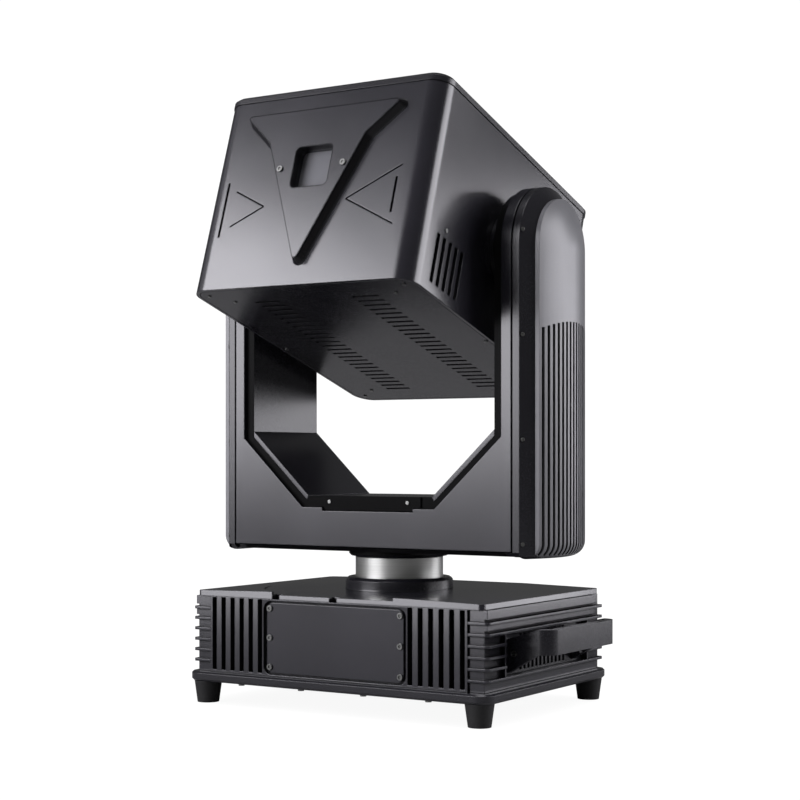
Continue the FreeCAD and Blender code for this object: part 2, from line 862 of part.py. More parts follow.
# Base: electrics
def power_supply():
    left = supply_side_gap - pocket_half_x
    box = rectangle(supply_width, supply_length, left + supply_width / 2, 0)
    solid = prism(box, supply_corner, "xy", floor_z, floor_z + supply_height)
    pitch = supply_length / (supply_slot_count + 1)
    reach = supply_width * supply_slot_share / 2
    middle = left + supply_width / 2
    top = floor_z + supply_height
    slots = []
    for k in range(supply_slot_count):
        y = (k - (supply_slot_count - 1) / 2) * pitch
        slots.append(block(middle - reach, middle + reach, y - supply_slot_width / 2, y + supply_slot_width / 2,
                           top - supply_slot_depth, top + overrun))
    return solid.cut(slots)


def control_board():
    wall_face = depth_half - wall_thickness
    front = wall_face - board_back_gap + board_thickness
    back = front - board_thickness
    low = panel_z - board_height / 2
    parts = [block(-board_width / 2, board_width / 2, back, front, low, low + board_height)]
    for side in (-1, 1):
        for z in (low + board_post_inset, low + board_height - board_post_inset):
            x = side * (board_width / 2 - board_post_inset)
            parts.append(polygon_rod(shank_sides, board_post_radius, Vector(x, back, z), Vector(x, wall_face, z)))
    for k in (-1, 0, 1):
        x = k * chip_pitch
        parts.append(block(x - chip_side / 2, x + chip_side / 2, back - chip_height, front, panel_z - chip_side / 2,
                           panel_z + chip_side / 2))
    return joined(parts)


def fan_z():
    return (recess_low + recess_high) / 2


def fan_frame():
    inner = body_half - side_wall - fan_depth
    outer = body_half - side_wall
    centre = fan_z()
    solid = prism(rectangle(fan_side, fan_side, 0, centre), fan_corner, "yz", inner, outer)
    solid = solid.cut(rod(fan_bore, Vector(inner - overrun, 0, centre), Vector(outer + overrun, 0, centre)))
    spider = [rod(fan_hub, Vector(inner, 0, centre), Vector(inner + fan_spider, 0, centre)),
              block(inner, inner + fan_spider, -fan_side / 2, fan_side / 2, centre - fan_strut / 2,
                    centre + fan_strut / 2),
              block(inner, inner + fan_spider, -fan_strut / 2, fan_strut / 2, centre - fan_side / 2,
                    centre + fan_side / 2),
              rod(fan_pin_radius, Vector(inner, 0, centre), Vector(outer - fan_spider, 0, centre))]
    return joined([solid] + spider)


def fan_rotor():
    start = Vector(body_half - side_wall - fan_depth + fan_spider + running_gap, 0, fan_z())
    end = Vector(body_half - side_wall - running_gap, 0, fan_z())
    hub = rod(fan_hub, start, end)
    length = (end - start).Length
    blade_rise = fan_blade_tip - fan_hub / 2
    blades = []
    for k in range(fan_blades):
        blade = block(-length / 2, length / 2, -fan_blade_thickness / 2, fan_blade_thickness / 2, fan_hub / 2,
                      fan_hub / 2 + blade_rise)
        blade.rotate(Vector(0, 0, 0), axis_z, fan_blade_angle)
        blade.rotate(Vector(0, 0, 0), axis_x, 360 * k / fan_blades)
        blade.translate((start + end) * 0.5)
        blades.append(blade)
    swept = rod(fan_blade_tip, start, end)
    solid = joined([hub] + blades).common(swept)
    return solid.cut(rod(fan_pin_radius + shaft_gap, start - axis_x * overrun, end + axis_x * overrun))


# Rear panel: sockets and controls
def panel_socket(k, bore, pins):
    place = socket_place(k)
    front = place + axis_y * socket_flange_thickness
    back = place - axis_y * socket_depth
    plate = rectangle(socket_flange_width, socket_flange_height, place.x, place.z)
    flange = prism(plate, socket_flange_corner, "xz", place.y, front.y)
    barrel = rod(bore + socket_wall, back, front)
    hollow = rod(bore, back + axis_y * socket_bottom, front + axis_y * overrun)
    solid = joined([flange, barrel]).cut(hollow)
    contacts = []
    for n in range(pins):
        angle = 2 * math.pi * n / pins
        base = back + Vector(pin_circle * math.cos(angle), 0, pin_circle * math.sin(angle))
        contacts.append(polygon_rod(shank_sides, pin_radius, base, base + axis_y * (socket_bottom + pin_length)))
    return joined([solid] + contacts)


def display_window():
    glass = rectangle(display_width, display_height, display_place, control_z)
    return prism(glass, display_corner, "xz", panel_front - display_thickness, panel_front)


def menu_button(k):
    place = button_place(k)
    back = place - axis_y * (panel_thickness + seat_gap)
    cap = rod(button_radius, back, place + axis_y * button_stand)
    flange = rod(button_radius + running_gap + button_flange, back - axis_y * button_flange_height, back)
    return joined([cap, flange])


def key_switch():
    place = Vector(key_place, panel_front, socket_z)
    bezel = rod(key_bezel_radius, place, place + axis_y * key_bezel_height)
    body = rod(key_body_radius, place - axis_y * key_body_depth, place + axis_y * key_bezel_height)
    front = place + axis_y * key_bezel_height
    bore = rod(key_barrel_radius + shaft_gap, front - axis_y * (key_barrel_length + running_gap), front + axis_y * overrun)
    return joined([bezel, body]).cut(bore)


def key_barrel():
    front = Vector(key_place, panel_front + key_bezel_height, socket_z)
    solid = rod(key_barrel_radius, front - axis_y * key_barrel_length, front)
    slot = block(front.x - key_slot_width / 2, front.x + key_slot_width / 2, front.y - key_slot_depth,
                 front.y + overrun, front.z - key_slot_length / 2, front.z + key_slot_length / 2)
    return solid.cut(slot)


# Yoke: arms with round tops, seen from the side
def arm_section(half, x0, x1):
    low = yoke_bottom
    points = [Vector(x0, -half, tilt_axis_z), Vector(x0, -half, low + yoke_bevel), Vector(x0, -half + yoke_bevel, low),
              Vector(x0, half - yoke_bevel, low), Vector(x0, half, low + yoke_bevel), Vector(x0, half, tilt_axis_z)]
    edges = [Part.LineSegment(a, b).toShape() for a, b in zip(points[:-1], points[1:])]
    edges.append(Part.Arc(points[-1], Vector(x0, 0, tilt_axis_z + half), points[0]).toShape())
    return Part.Face(Part.Wire(edges)).extrude(axis_x * (x1 - x0))


def opening_corner(offset):
    # Foot of the right-hand slope of the yoke's opening, drawn in by an offset
    return opening_floor_half - offset * math.tan(slope / 2), opening_floor + offset


def opening_side(offset, wall):
    x, z = opening_corner(offset)
    return wall, z + (wall - x) * math.tan(slope)


def opening_prism(offset, wall):
    foot = opening_corner(offset)
    shoulder = opening_side(offset, wall)
    top = (wall, arm_top + overrun)
    right = [foot, shoulder, top]
    left = [(-x, z) for x, z in reversed(right)]
    reach = arm_half_depth + overrun
    return prism(right + left, 0, "xz", -reach, reach)


def yoke_frame():
    parts = [arm_section(core_half_depth, -band_inner, band_inner), yoke_disc()]
    for side in (-1, 1):
        parts.append(arm_section(arm_half_depth, side * band_inner, side * band_outer))
    solid = joined(parts).cut(opening_prism(liner_offset, arm_inner_half))
    lap = -cavity_lap
    foot = opening_corner(lap)
    shoulder = opening_side(lap, opening_half_width + cavity_lap)
    low = yoke_bottom + cavity_wall
    right = [foot, shoulder, (shoulder[0], tilt_axis_z + cavity_head), (cavity_outer, tilt_axis_z + cavity_head),
             (cavity_outer, low)]
    left = [(-x, z) for x, z in reversed(right)]
    cavity = prism(right + left, 0, "xz", -core_half_depth - overrun, cavity_back)
    tools = [cavity, rod(column_bore, Vector(0, 0, yoke_bottom - overrun), Vector(0, 0, low + overrun))]
    for side in (-1, 1):
        inner = Vector(side * (arm_inner_half - overrun), 0, tilt_axis_z)
        outer = Vector(side * cavity_outer, 0, tilt_axis_z)
        tools.append(rod(tilt_bearing_outer, inner, outer))
    for seat, outward in floor_screw_seats():
        tools.append(screw_hole(seat, outward, flange_thickness + screw_grip, small_shank_radius))
    for seat, outward in arm_screw_seats():
        tools.append(screw_hole(seat, outward, screw_grip, small_shank_radius))
    return solid.cut(tools)


def yoke_front_cover():
    skin = arm_section(arm_half_depth, -cover_half_width, cover_half_width)
    skin = skin.cut(arm_section(core_half_depth, -cover_half_width - overrun, cover_half_width + overrun))
    front = block(-cover_half_width, cover_half_width, -arm_half_depth - overrun, -cover_split / 2, front_cover_bottom,
                  arm_top + overrun)
    solid = skin.common(front).cut(opening_prism(0, opening_half_width))
    notch = block(-tab_half_width, tab_half_width, -arm_half_depth - overrun, 0, opening_floor - tab_depth,
                  opening_floor + overrun)
    return solid.cut(notch)


def floor_cover():
    low = opening_corner(liner_offset)
    high = opening_corner(liner_offset + liner_thickness)
    plate = [(-low[0], low[1]), low, high, (-high[0], high[1])]
    parts = [prism(plate, 0, "xz", -core_half_depth, core_half_depth)]
    for side in (-1, 1):
        near = side * core_half_depth
        far = side * (core_half_depth + flange_thickness)
        parts.append(block(-flange_half_width, flange_half_width, min(near, far), max(near, far),
                           opening_floor + tab_gap, high[1]))
        parts.append(block(-tab_half_width + tab_gap, tab_half_width - tab_gap, min(near, far), max(near, far),
                           opening_floor - tab_depth + tab_gap, opening_floor + tab_gap))
    holes = [screw_hole(seat, outward, flange_thickness + overrun, small_shank_radius)
             for seat, outward in floor_screw_seats()]
    return joined(parts).cut(holes)


def floor_screw_seats():
    z = opening_floor + (liner_offset + liner_thickness) / 2
    seats = []
    for side in (-1, 1):
        for x in (-floor_screw_place, floor_screw_place):
            seats.append((Vector(x, side * (core_half_depth + flange_thickness), z), axis_y * side))
    return seats


def slope_plate():
    outer = liner_offset
    inner = liner_offset + liner_thickness
    corners = [opening_corner(inner), opening_corner(outer), opening_side(outer, arm_inner_half),
               opening_side(inner, arm_inner_half)]
    return prism(corners, 0, "xz", -core_half_depth, core_half_depth)


# Yoke: outer side of the right arm, mirrored for the left one
def arm_bezel():
    # Sloping frame: a straight column below the tilt axis and half a cone above it
    run = bezel_outer - band_outer
    plan = [(band_outer, -arm_half_depth), (bezel_outer, -bezel_half_depth), (bezel_outer, bezel_half_depth),
            (band_outer, arm_half_depth)]
    column = prism(plan, 0, "xy", bezel_bottom, tilt_axis_z).common(arm_hull(0))
    cone = Part.makeCone(arm_half_depth, bezel_half_depth, run, Vector(band_outer, 0, tilt_axis_z), axis_x)
    above = block(band_outer, bezel_outer, -arm_half_depth, arm_half_depth, tilt_axis_z, arm_top)
    holes = [screw_hole(seat, outward, run, small_shank_radius) for seat, outward in arm_screw_seats() if seat.x > 0]
    return joined([column, cone.common(above)]).cut(holes)


def arm_screw_seats():
    # Rows of two screws on each bevelled flank of the arm frames, at right angles to the flank
    run = bezel_outer - band_outer
    rise = arm_half_depth - bezel_half_depth
    length = math.hypot(run, rise)
    seats = []
    for x_side in (-1, 1):
        for y_side in (-1, 1):
            outward = Vector(x_side * rise / length, y_side * run / length, 0)
            for row in range(arm_screw_rows):
                z = arm_screw_first + row * arm_screw_pitch
                x = x_side * (band_outer + run * arm_screw_share)
                y = y_side * (arm_half_depth - rise * arm_screw_share)
                seats.append((Vector(x, y, z), outward))
    return seats


def crown_x(y):
    # Outer face of the finned cover, an arc over the width of the arm
    radius = crown_radius()
    return bezel_outer + fin_cover_crown - radius + math.sqrt(radius ** 2 - y ** 2)


def crown_radius():
    rise = fin_cover_crown - fin_cover_side
    return (bezel_half_depth ** 2 + rise ** 2) / (2 * rise)


def arm_hull(depth):
    # Round body under the crown of the arm, its lower edge turned in; the depth is measured inwards from the crown
    radius = crown_radius()
    low = fin_cover_bottom + depth
    bend = fin_cover_bend - depth
    across = radius - depth
    corners = [(0, low), (across, low), (across, tilt_axis_z), (0, tilt_axis_z)]
    profile = Part.Face(outline(corners, [0, bend, 0, 0], "xz", 0))
    hull = profile.revolve(Vector(0, 0, 0), axis_z, 360)
    hull.translate(axis_x * (bezel_outer + fin_cover_crown - radius))
    return hull


def fin_cover():
    half = bezel_half_depth
    tip = bezel_outer + fin_cover_crown
    low = fin_cover_bottom
    side = bezel_outer + fin_cover_side
    column = block(bezel_outer, tip, -half, half, low, tilt_axis_z)
    centre = Vector(bezel_outer, 0, tilt_axis_z)
    peak = Vector(tip, 0, tilt_axis_z)
    rim = Vector(bezel_outer, 0, tilt_axis_z + half)
    middle_y = half / 2
    middle = Vector(crown_x(middle_y), 0, tilt_axis_z + middle_y)
    edge = Vector(side, 0, tilt_axis_z + half)
    profile = Part.Wire([Part.LineSegment(centre, peak).toShape(), Part.Arc(peak, middle, edge).toShape(),
                         Part.LineSegment(edge, rim).toShape(), Part.LineSegment(rim, centre).toShape()])
    dome = Part.Face(profile).revolve(centre, axis_x, 360)
    dome = dome.common(block(bezel_outer - overrun, tip + overrun, -half - overrun, half + overrun, tilt_axis_z,
                             tilt_axis_z + half + overrun))
    grooves = []
    for k in range(fin_groove_count):
        y = (k - (fin_groove_count - 1) / 2) * fin_groove_pitch
        top = fin_groove_top - fin_groove_arch * (y / half) ** 2
        grooves.append(block(max(crown_x(y) - fin_groove_depth, bezel_outer + seat_gap), tip + overrun,
                             y - fin_groove_width / 2, y + fin_groove_width / 2, low - overrun, top))
    fins = joined([column.common(arm_hull(0)), dome]).cut(grooves)
    return joined([fins, column.common(arm_hull(fin_groove_depth))])


def yoke_screws():
    floor = [small_screw(seat, outward, flange_thickness + screw_grip) for seat, outward in floor_screw_seats()]
    return floor + [small_screw(seat, outward, screw_grip) for seat, outward in arm_screw_seats()]


# Tilt drive: trunnions on the head, bearings and motor in the arms
def trunnions():
    solids = []
    for side in (-1, 1):
        along = axis_x * side
        start = along * head_half_width
        flange = rod(trunnion_flange_radius, start, start + along * trunnion_flange)
        neck = rod(trunnion_neck_radius, start, along * (arm_inner_half - running_gap))
        shaft = rod(trunnion_radius, start, along * (cavity_outer - running_gap))
        solid = joined([flange, neck, shaft]).cut(rod(trunnion_bore, along * 0, along * cavity_outer))
        solids.append(solid)
    return solids


def tilt_bearings():
    solids = []
    for side in (-1, 1):
        start = Vector(side * (arm_inner_half + running_gap), 0, tilt_axis_z)
        end = start + axis_x * (side * tilt_bearing_width)
        solids.append(rod(tilt_bearing_outer, start, end).cut(rod(trunnion_radius + shaft_gap, start, end)))
    return solids


def tilt_pulley():
    return toothed_wheel(tilt_pulley_radius, tilt_pulley_width, tilt_teeth, trunnion_radius,
                         Vector(-tilt_pulley_inner, 0, 0), axis_x * -1)


def tilt_pinion():
    teeth = round(tilt_teeth * tilt_pinion_radius / tilt_pulley_radius)
    return toothed_wheel(tilt_pinion_radius, tilt_pulley_width, teeth, motor_shaft_radius + shaft_gap,
                         Vector(-tilt_pulley_inner, 0, tilt_motor_z), axis_x * -1)


def tilt_belt():
    inner = tilt_pulley_inner + pulley_flange + running_gap
    return belt(tilt_pulley_radius, tilt_pinion_radius, tilt_axis_z - tilt_motor_z, belt_width(tilt_pulley_width),
                Vector(-inner, 0, tilt_axis_z), axis_x * -1, axis_z * -1)


def tilt_motor():
    front = -tilt_pulley_inner + running_gap
    side = tilt_motor_side
    can = prism(rectangle(side, side, 0, tilt_motor_z), tilt_motor_corner, "yz", front, front + tilt_motor_length)
    shaft = rod(motor_shaft_radius, Vector(front, 0, tilt_motor_z),
                Vector(-tilt_pulley_inner - tilt_pulley_width, 0, tilt_motor_z))
    foot = block(front, front + tilt_motor_length, -side / 2, side / 2, yoke_bottom + cavity_wall, tilt_motor_z)
    return joined([can, shaft, foot])


# Head casing
def head_plan(extra, low, high):
    width = 2 * (head_half_width + extra)
    depth = head_rear - head_front + 2 * extra
    return prism(rectangle(width, depth, 0, head_middle), head_corner + extra, "xy", low, high)


def head_shell():
    inside = head_plan(-head_wall, head_bottom - overrun, shell_high + overrun)
    solid = head_plan(0, head_bottom, shell_high).cut(inside)
    opening = rectangle(aperture_side, aperture_side, 0, aperture_z)
    tools = [prism(opening, aperture_corner, "xz", vee_front - overrun, head_front + head_wall + overrun)]
    tools += front_marks()
    for k in range(vent_count):
        y = vent_first + k * vent_pitch
        tools.append(block(-head_half_width - overrun, head_half_width + overrun, y - vent_width / 2,
                           y + vent_width / 2, vent_low, vent_high))
    tools.append(rod(trunnion_bore, axis_x * (-head_half_width - overrun), axis_x * (head_half_width + overrun)))
    for seat, outward in aperture_screw_seats():
        tools.append(screw_hole(seat, outward, spacer_thickness + vee_plate_thickness + head_wall))
    for seat, outward in vent_screw_seats() + sink_screw_seats():
        tools.append(screw_hole(seat, outward, sink_plate + head_wall, small_shank_radius))
    return solid.cut(tools)


def stroke(start, end, width):
    # Straight groove in the front face, as wide as the cutter and square at both ends
    along = (Vector(end[0], 0, end[1]) - Vector(start[0], 0, start[1])).normalize()
    across = along.cross(axis_y) * (width / 2)
    corners = [(point[0] + side * across.x, point[1] + side * across.z)
               for point, side in ((start, -1), (end, -1), (end, 1), (start, 1))]
    return prism(corners, 0, "xz", head_front - overrun, head_front + mark_depth)


def front_marks():
    strokes = []
    for tip, end, middle, half in ((large_chevron_tip, large_chevron_end, large_chevron_z, large_chevron_half),
                                   (small_chevron_tip, small_chevron_end, small_chevron_z, small_chevron_half)):
        for side in (-1, 1):
            strokes.append(stroke((tip, middle), (end, middle + side * half), chevron_width))
    for place, middle, half in ((short_bar_place, large_chevron_z, short_bar_half),
                                (long_bar_place, small_chevron_z, long_bar_half)):
        strokes.append(stroke((place, middle - half), (place, middle + half), bar_width))
    return strokes


def vent_screw_seats():
    y = vent_first + vent_pitch
    z = vent_high + vent_screw_rise
    return [(Vector(side * head_half_width, y, z), axis_x * side) for side in (-1, 1)]


def aperture_screw_seats():
    return [(Vector(side * aperture_screw_place, vee_front, aperture_z), axis_y * -1) for side in (-1, 1)]


def grown(corners, distance):
    # The same outline, run counter-clockwise, with every side moved outwards
    points = [Vector(x, z, 0) for x, z in corners]
    moved = []
    for k, point in enumerate(points):
        before = (point - points[k - 1]).normalize()
        after = (points[(k + 1) % len(points)] - point).normalize()
        outward = (before + after).cross(axis_z) * (distance / (1 + before.dot(after)))
        moved.append((point.x + outward.x, point.y + outward.y))
    return moved


def vee_wire(level, spread):
    right = [(0, vee_tip), (vee_kink_half, vee_kink), (vee_half_width, vee_top)]
    left = [(-x, z) for x, z in reversed(right[1:])]
    top = vee_top_round + spread
    kink = vee_kink_round - spread
    return outline(grown(right + left, spread), [vee_tip_round + spread, kink, top, top, kink], "xz", level)


def vee_layer(back, front, spread):
    # Loft from the wider foot on the casing to the outline of the plate
    solid = Part.makeLoft([vee_wire(back, spread), vee_wire(front, 0)], True, True)
    opening = rectangle(aperture_side, aperture_side, 0, aperture_z)
    tools = [prism(opening, aperture_corner, "xz", front - overrun, back + overrun)]
    for seat, outward in aperture_screw_seats():
        tools.append(screw_hole(seat, outward, spacer_thickness + vee_plate_thickness + head_wall))
    return solid.cut(tools)


def aperture_glass():
    side = aperture_side + 2 * glass_margin
    back = head_front + head_wall
    return prism(rectangle(side, side, 0, aperture_z), aperture_corner, "xz", back, back + glass_thickness)


def head_cap():
    solid = head_plan(cap_overhang, shell_high, head_top)
    upper = [edge for edge in solid.Edges if edge.BoundBox.ZMin > head_top - shaft_gap]
    return solid.makeChamfer(cap_bevel, upper)


def bottom_screw_seats():
    seats = []
    for x, y in ((bottom_screw_x, bottom_screw_y), (bottom_corner_screw_x, bottom_corner_screw_y),
                 (bottom_side_screw_x, 0)):
        for x_side in (-1, 1):
            for y_side in (-1, 1):
                seat = Vector(x_side * x, y_side * y + head_middle, head_bottom)
                if not any(seat.isEqual(other, seat_gap) for other, along in seats):
                    seats.append((seat, axis_z * -1))
    return seats


def head_bottom_plate():
    solid = head_plan(-head_wall, head_bottom, shell_low)
    lower = [edge for edge in solid.Edges if edge.BoundBox.ZMax < head_bottom + shaft_gap]
    solid = solid.makeChamfer(bottom_plate_bevel, lower)
    tools = []
    for row in range(bottom_slot_rows):
        y = head_middle + (row - (bottom_slot_rows - 1) / 2) * bottom_slot_pitch
        for side in (-1, 1):
            x = side * (bottom_slot_inner + bottom_slot_outer) / 2
            reach = (bottom_slot_outer - bottom_slot_inner) / 2
            tools.append(block(x - reach, x + reach, y - bottom_slot_width / 2, y + bottom_slot_width / 2,
                               head_bottom - overrun, shell_low + overrun))
    for seat, outward in bottom_screw_seats():
        tools.append(screw_hole(seat, outward, bottom_plate + overrun, small_shank_radius))
    return solid.cut(tools)


def sink_screw_seats():
    seats = []
    for side in (-1, 1):
        for z in (sink_low + sink_screw_edge, sink_high - sink_screw_edge):
            seat = Vector(side * (sink_half_width - sink_screw_edge), head_rear + sink_plate, z)
            seats.append((seat, axis_y))
    return seats


def heat_sink():
    back = head_rear + sink_plate
    parts = [block(-sink_half_width, sink_half_width, head_rear, back, sink_low, sink_high)]
    span = 2 * (sink_half_width - 2 * sink_screw_edge)
    pitch = (span - sink_fin_thickness) / (sink_fin_count - 1)
    for k in range(sink_fin_count):
        x = -span / 2 + sink_fin_thickness / 2 + k * pitch
        parts.append(block(x - sink_fin_thickness / 2, x + sink_fin_thickness / 2, back, back + sink_fin_reach, sink_low,
                           sink_high))
    holes = [screw_hole(seat, outward, sink_plate + overrun, small_shank_radius) for seat, outward in sink_screw_seats()]
    return joined(parts).cut(holes)


def head_screws():
    solids = []
    for seat, outward in vent_screw_seats():
        solids.append(small_screw(seat, outward, head_wall))
    for seat, outward in aperture_screw_seats():
        solids.append(screw(seat, outward, spacer_thickness + vee_plate_thickness + head_wall))
    for seat, outward in bottom_screw_seats():
        solids.append(small_screw(seat, outward, bottom_plate))
    for seat, outward in sink_screw_seats():
        solids.append(small_screw(seat, outward, sink_plate + head_wall))
    return solids


# Head optics
def optical_bench():
    low = bench_top - bench_thickness
    parts = [block(-bench_half_width, bench_half_width, bench_front, bench_rear, low, bench_top)]
    for x in (-bench_half_width + bench_post_inset, bench_half_width - bench_post_inset):
        for y in (bench_front + bench_post_inset, bench_rear - bench_post_inset):
            parts.append(rod(bench_post_radius, Vector(x, y, shell_low), Vector(x, y, low)))
    return joined(parts)


def laser_module():
    box = rectangle(2 * laser_half_width, laser_rear - laser_front, 0, (laser_front + laser_rear) / 2)
    solid = prism(box, laser_corner, "xy", bench_top, bench_top + laser_height)
    z = aperture_z - mirror_spacing
    port = rod(laser_port_radius, Vector(-fold_place, laser_front - laser_corner, z),
               Vector(-fold_place, laser_front + laser_corner, z))
    return joined([solid, port])


def galvo_places():
    # Where each mirror turns and the way its motor lies: lower one about Y, upper one about X
    lower = Vector(0, mirror_place, aperture_z - mirror_spacing)
    upper = Vector(0, mirror_place, aperture_z)
    return [(lower, axis_y), (upper, axis_x)]


def scanner_block():
    parts = []
    half = scanner_block_width / 2
    lower, upper = [place for place, along in galvo_places()]
    far = mirror_length / 2 + mirror_shaft_length
    reach = far + galvo_length
    parts.append(block(-half, half, scanner_block_front, scanner_block_rear, bench_top, lower.z + galvo_radius + galvo_wall))
    parts.append(block(far + galvo_wall, far + galvo_wall + half, mirror_place - half, scanner_block_rear, bench_top,
                       upper.z + galvo_radius + galvo_wall))
    parts.append(block(0, far + galvo_wall + half, scanner_block_rear - galvo_wall, scanner_block_rear, bench_top,
                       lower.z))
    parts.append(block(-fold_place - half, half, scanner_block_rear - galvo_wall, scanner_block_rear, bench_top,
                       lower.z - galvo_radius - galvo_wall))
    fold = block(-fold_width / 2, fold_width / 2, -fold_thickness, 0, bench_top, lower.z + fold_width / 2)
    fold.rotate(Vector(0, 0, 0), axis_z, 45)
    fold.translate(Vector(-fold_place, mirror_place, 0))
    parts.append(block(-fold_place - half, -fold_place + half, mirror_place - half, scanner_block_rear, bench_top,
                       bench_top + galvo_wall))
    parts.append(fold)
    for place, along in galvo_places():
        start = place + along * far
        parts.append(rod(galvo_radius, start, place + along * reach))
    solid = joined(parts)
    bores = []
    for place, along in galvo_places():
        bores.append(rod(mirror_shaft_radius + shaft_gap, place, place + along * (far + mirror_shaft_length)))
    return solid.cut(bores)


def mirror(k):
    place, along = galvo_places()[k]
    reach = mirror_length / 2
    plate = block(-reach, reach, -mirror_width / 2, mirror_width / 2, -mirror_thickness / 2, mirror_thickness / 2)
    if along.isEqual(axis_y, shaft_gap):
        plate.rotate(Vector(0, 0, 0), axis_z, 90)
        plate.rotate(Vector(0, 0, 0), axis_y, 45)
    else:
        plate.rotate(Vector(0, 0, 0), axis_x, -45)
    plate.translate(place)
    end = reach + 2 * mirror_shaft_length - running_gap
    shaft = rod(mirror_shaft_radius, place, place + along * end)
    return joined([plate, shaft])


# Placing and writing
def tilted(shape):
    copy = shape.copy()
    copy.rotate(Vector(0, 0, 0), axis_x, -rest_tilt)
    copy.translate(Vector(0, 0, tilt_axis_z))
    return copy


def write(name, solids):
    solids = solids if isinstance(solids, list) else [solids]
    shape = solids[0] if len(solids) == 1 else Part.Compound(solids)
    shape.exportStep("parts/" + name + ".step")


def base_nodes():
    right_side = side_panel()
    right_handle = handle()
    front = grille_wall()
    nodes = {"base_tray": tray(), "rubber_feet": feet(), "front_wall": front, "rear_wall": flipped(front, axis_y),
             "front_panel": panel(), "rear_panel": rear_panel(), "base_screws": base_screws(),
             "side_wall_right": right_side, "side_wall_left": flipped(right_side, axis_x),
             "handle_right": right_handle, "handle_left": flipped(right_handle, axis_x),
             "top_cover": top_cover(),
             "pan_flange": pan_flange(), "pan_bearing": pan_bearing(), "pan_motor": pan_motor(),
             "pan_belt": pan_belt(), "pan_pinion": pan_pinion(), "power_supply": power_supply(),
             "control_board": control_board(), "fan_frame": fan_frame(), "fan_rotor": fan_rotor(),
             "power_inlet": panel_socket(0, power_bore, power_pins),
             "data_sockets": [panel_socket(k, data_bore, data_pins) for k in (1, 2)],
             "display_window": display_window(), "key_switch": key_switch(), "key_barrel": key_barrel()}
    for k, name in enumerate(button_names):
        nodes[name] = menu_button(k)
    return nodes


def yoke_nodes():
    cover = yoke_front_cover()
    plate = slope_plate()
    bezel = arm_bezel()
    fins = fin_cover()
    return {"pan_collar": pan_collar(), "pan_pulley": pan_pulley(),
            "yoke_frame": yoke_frame(), "yoke_front_cover": cover, "yoke_rear_cover": flipped(cover, axis_y),
            "yoke_floor_cover": floor_cover(), "slope_plates": [plate, flipped(plate, axis_x)],
            "arm_bezels": [bezel, flipped(bezel, axis_x)], "arm_fin_cover_right": fins,
            "arm_fin_cover_left": flipped(fins, axis_x), "yoke_screws": yoke_screws(),
            "tilt_bearings": tilt_bearings(), "tilt_motor": tilt_motor(), "tilt_belt": tilt_belt(),
            "tilt_pinion": tilt_pinion()}


def head_nodes():
    nodes = {"head_shell": head_shell(), "head_cap": head_cap(), "head_bottom_plate": head_bottom_plate(),
             "vee_spacer": vee_layer(head_front, spacer_front, spacer_spread),
             "vee_plate": vee_layer(spacer_front, vee_front, 0),
             "aperture_glass": aperture_glass(), "head_heat_sink": heat_sink(), "head_screws": head_screws(),
             "trunnions": trunnions(), "tilt_pulley": tilt_pulley(), "optical_bench": optical_bench(),
             "laser_module": laser_module(), "scanner_block": scanner_block(), "mirror_lower": mirror(0),
             "mirror_upper": mirror(1)}
    placed = {}
    for name, solids in nodes.items():
        solids = solids if isinstance(solids, list) else [solids]
        placed[name] = [tilted(solid) for solid in solids]
    return placed


os.makedirs("parts", exist_ok=True)
for nodes in (base_nodes(), yoke_nodes(), head_nodes()):
    for name, solids in nodes.items():
        write(name, solids)
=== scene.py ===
import json
import math
import bpy
import numpy as np
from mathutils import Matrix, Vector

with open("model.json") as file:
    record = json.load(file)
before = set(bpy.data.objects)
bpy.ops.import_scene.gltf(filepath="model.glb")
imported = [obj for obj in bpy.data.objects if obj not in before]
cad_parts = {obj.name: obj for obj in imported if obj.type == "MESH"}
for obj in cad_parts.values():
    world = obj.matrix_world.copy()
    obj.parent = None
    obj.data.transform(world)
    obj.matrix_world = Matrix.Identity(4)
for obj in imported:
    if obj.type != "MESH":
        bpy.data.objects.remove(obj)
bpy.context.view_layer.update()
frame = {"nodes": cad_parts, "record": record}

nodes = frame["nodes"]
print("frame loaded:", len(nodes), "nodes")


class Value:  # one output socket; arithmetic on it adds Math nodes
    def __init__(self, maker, socket):
        self.maker, self.socket = maker, socket

    def math(self, operation, other):
        return self.maker.node("ShaderNodeMath", {"operation": operation}, {0: self, 1: other})

    def flipped(self, operation, other):
        return self.maker.node("ShaderNodeMath", {"operation": operation}, {0: other, 1: self})

    def __add__(self, other): return self.math("ADD", other)
    def __radd__(self, other): return self.math("ADD", other)
    def __sub__(self, other): return self.math("SUBTRACT", other)
    def __rsub__(self, other): return self.flipped("SUBTRACT", other)
    def __mul__(self, other): return self.math("MULTIPLY", other)
    def __rmul__(self, other): return self.math("MULTIPLY", other)
    def __gt__(self, other): return self.math("GREATER_THAN", other)
    def __lt__(self, other): return self.math("LESS_THAN", other)
    def __abs__(self): return self.maker.node("ShaderNodeMath", {"operation": "ABSOLUTE"}, {0: self})

    def most(self, other):
        return self.math("MAXIMUM", other)

    def within(self, low, high):  # 0 below low, 1 above high, smooth between
        return self.maker.node("ShaderNodeMapRange", {"interpolation_type": "SMOOTHSTEP"},
                               {"Value": self, "From Min": low, "From Max": high})


class Maker:  # one node tree; every node in it comes from node()
    def __init__(self, tree):
        self.tree = tree
        tree.nodes.clear()

    def node(self, kind, settings=None, inputs=None, out=0):
        made = self.tree.nodes.new(kind)
        for key, value in (settings or {}).items():
            setattr(made, key, value)
        for key, value in (inputs or {}).items():
            if isinstance(value, Value):
                self.tree.links.new(value.socket, made.inputs[key])
            else:
                made.inputs[key].default_value = value
        return Value(self, made.outputs[out]) if out is not None else None


